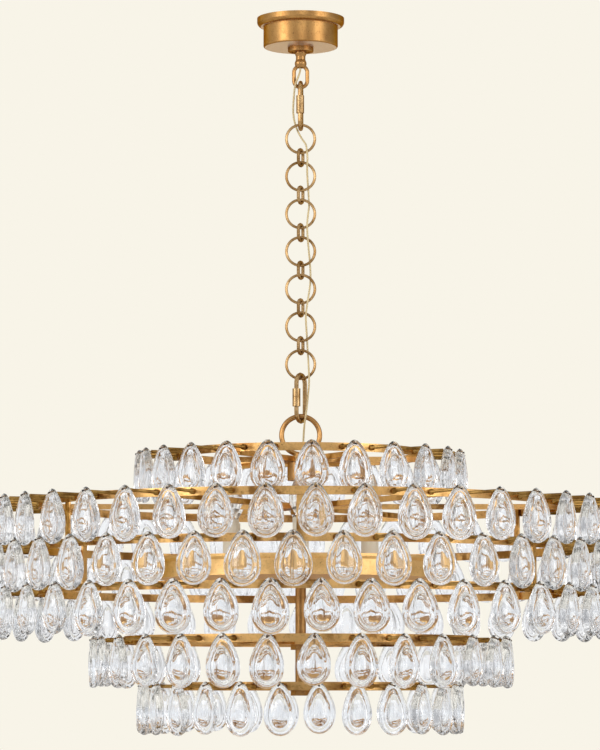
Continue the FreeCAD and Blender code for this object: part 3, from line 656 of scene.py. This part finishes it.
def drops_piece(name, number, picks, body, replaced, seed):
    """The drops on some of a tier's pegs, as one piece that rides on a body."""
    tier = TIERS[number]
    angles = angles_of(tier)
    hanging = random.Random(seed)
    bm = drop_cage()
    one = all_of(bm)
    for pick in picks:
        verts = verts_of(bmesh.ops.duplicate(bm, geom=one)["geom"])
        lean = math.radians(hanging.uniform(-MOST_LEAN, MOST_LEAN))
        twist = math.radians(hanging.uniform(-MOST_TWIST, MOST_TWIST))
        size = hanging.uniform(*SIZES) if body == "fixture" else SIZE_OF_FRONT_DROP
        bmesh.ops.scale(bm, verts=verts, vec=(size * NARROWER.get(number, 1), size, size))
        turn(bm, verts, lean, "Y")
        turn(bm, verts, twist, "Z")
        move(bm, verts, 0, -tier.radius, 0)
        turn(bm, verts, angles[pick], "Z")
    bmesh.ops.delete(bm, geom=verts_of(one), context="VERTS")
    move(bm, bm.verts[:], 0, 0, middle(f"tier_{number}_band"))
    piece = linked(name, mesh_from(bm, name, glass))
    smooth = piece.modifiers.new("smooth", "SUBSURF")
    smooth.levels = 2
    smooth.render_levels = 2
    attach(piece, body)
    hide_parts(replaced)


for n, tier in TIERS.items():
    drops_piece(f"tier_{n}_glass", n, range(1, tier.count), "fixture", f"tier_{n}_drops", n)
    drops_piece(
        f"tier_{n}_front_glass",
        n,
        [0],
        f"front_drop_{n}",
        f"tier_{n}_front_drop",
        FRONT_SEED + n,
    )

# ---------------------------------------------------------------------------------------
# Lamps. Six lamp holders with painted candle sleeves stand on a steel pan inside the wide
# bands, each with a small clear lamp.
# ---------------------------------------------------------------------------------------

pan_gold = gold_material(
    "pan gold", (0.85, 0.56, 0.24, 1), (0.62, 0.37, 0.13, 1), (0.1, 0.045, 0.015, 1), 0.7
)
dress(pan_gold, "antique_gold", "lamp_pan")
sleeve_paint = toned_material(
    "sleeve paint", 0.0, 60.0, ((0.78, 0.72, 0.58, 1), (0.86, 0.82, 0.7, 1)), (0.35, 0.5)
)[0]
dress(sleeve_paint, "candle_sleeve", "lamp_holders")
lamp_glass, _, lamp_shader, _ = toned_material(
    "lamp glass", 0.0, 50.0, ((0.95, 0.94, 0.9, 1), (0.98, 0.98, 0.96, 1)), ior=1.45
)
lamp_shader.inputs["Transmission Weight"].default_value = 0.9
lamp_shader.inputs["Roughness"].default_value = 0.05
dress(lamp_glass, "lamp_glass", "lamps")

# ---------------------------------------------------------------------------------------
# Floor. Plain and pale, well below the lamp. It is see-through from beneath, so that the
# lamp can be looked at from far down.
# ---------------------------------------------------------------------------------------

FLOOR_LEVEL = -2.25
FLOOR_SIZE = 6

floor_paint, floor_tree, floor_shader, _ = toned_material(
    "pale floor", 0.0, 3.0, ((0.86, 0.83, 0.75, 1), (0.88, 0.85, 0.77, 1))
)
floor_shader.inputs["Roughness"].default_value = 0.8
from_beneath = floor_tree.nodes.new("ShaderNodeMixShader")
for socket, source in enumerate(
    (
        floor_tree.nodes.new("ShaderNodeNewGeometry").outputs["Backfacing"],
        floor_shader.outputs["BSDF"],
        floor_tree.nodes.new("ShaderNodeBsdfTransparent").outputs["BSDF"],
    )
):
    floor_tree.links.new(source, from_beneath.inputs[socket])
floor_surface = node_of(floor_tree, "OUTPUT_MATERIAL").inputs["Surface"]
floor_tree.links.new(from_beneath.outputs["Shader"], floor_surface)

bm = bmesh.new()
bmesh.ops.create_grid(bm, x_segments=1, y_segments=1, size=FLOOR_SIZE)
move(bm, bm.verts[:], 0, 0, FLOOR_LEVEL)
floor = linked("floor", mesh_from(bm, "floor", floor_paint))
floor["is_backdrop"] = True

# ---------------------------------------------------------------------------------------
# Room. The camera sees plain cream around the lamp. Gold and glass see upright screens of
# light with soft dark gaps, a white wall behind the lamp, and a dim one behind the camera.
# ---------------------------------------------------------------------------------------

CREAM = (0.939, 0.905, 0.807, 1)
SCREEN = (1.08, 1.07, 1.06, 1)
GAP = (0.5, 0.5, 0.51, 1)
WHITE_WALL = (0.95, 0.95, 0.95, 1)
DIM_WALL = (0.25, 0.25, 0.25, 1)
SCREENS_AROUND = 5.0
# Directions are flattened before they reach the screens, which makes the screens high.
FLATTENED = (1.0, 1.0, 0.25)

world = bpy.data.worlds.new("cream room")
bpy.context.scene.world = world
world.use_nodes = True
room = world.node_tree
direction = room.nodes.new("ShaderNodeTexCoord").outputs["Generated"]
backwards = split_vector(room, direction)["Y"]
flat = room.nodes.new("ShaderNodeVectorMath")
flat.operation = "MULTIPLY"
flat.inputs[1].default_value = FLATTENED
room.links.new(direction, flat.inputs[0])
screens = ramp(room, noise(room, flat.outputs["Vector"], SCREENS_AROUND, 1.0), 0.42, 0.58)
walls = mixed(room, screens, GAP, SCREEN)
walls = mixed(room, ramp(room, backwards, 0.86, 0.99), walls, WHITE_WALL)
walls = mixed(room, ramp(room, backwards, -0.995, -0.96), DIM_WALL, walls)
seen_directly = room.nodes.new("ShaderNodeLightPath").outputs["Is Camera Ray"]
shown = mixed(room, seen_directly, walls, CREAM)
room.links.new(shown, room.nodes["Background"].inputs["Color"])

# ---------------------------------------------------------------------------------------
# Lights and camera. Soft windows at both sides, a weak fill from the front, and a light
# that shines down on the floor, so that the floor lights the lamp from below.
# ---------------------------------------------------------------------------------------

MIDDLE_OF_LAMP = (0, 0, -0.7)


def soft_light(name, place, size, power, colour, target=MIDDLE_OF_LAMP):
    data = bpy.data.lights.new(name, "AREA")
    data.shape = "RECTANGLE"
    data.size, data.size_y = size
    data.energy = power
    data.color = colour
    light = linked(name, data)
    light.location = place
    aim = Vector(target) - light.location
    light.rotation_euler = aim.to_track_quat("-Z", "Y").to_euler()


soft_light("left window", (-3.0, -2.2, 0.2), (1.6, 2.4), 45, (1, 0.97, 0.92))
soft_light("right window", (3.0, -2.0, 0.0), (1.6, 2.4), 35, (1, 0.97, 0.92))
soft_light("floor wash", (0, 0, -1.25), (4.0, 4.0), 10, (1, 0.98, 0.94), (0, 0, -3))
soft_light("front fill", (0.3, -4.6, 0.6), (1.2, 0.8), 12, (1, 0.98, 0.95))

# The camera stands level with the lowest drops, and is tilted up by a few degrees. Its lens
# is in millimetres.
CAMERA_PLACE = (-0.001, -5.273, -1.033)
CAMERA_TILT = 5.27
CAMERA_LENS = 168
# Light passes many drops on its way, and each has two faces.
BOUNCES = 28

camera_data = bpy.data.cameras.new("camera")
camera_data.sensor_width = 36
camera_data.lens = CAMERA_LENS
camera = linked("camera", camera_data)
camera.location = CAMERA_PLACE
camera.rotation_euler = (math.radians(90 + CAMERA_TILT), 0, 0)

scene = bpy.context.scene
scene.camera = camera
scene.view_settings.view_transform = "Standard"
scene.cycles.max_bounces = BOUNCES
scene.cycles.transmission_bounces = BOUNCES

low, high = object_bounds()
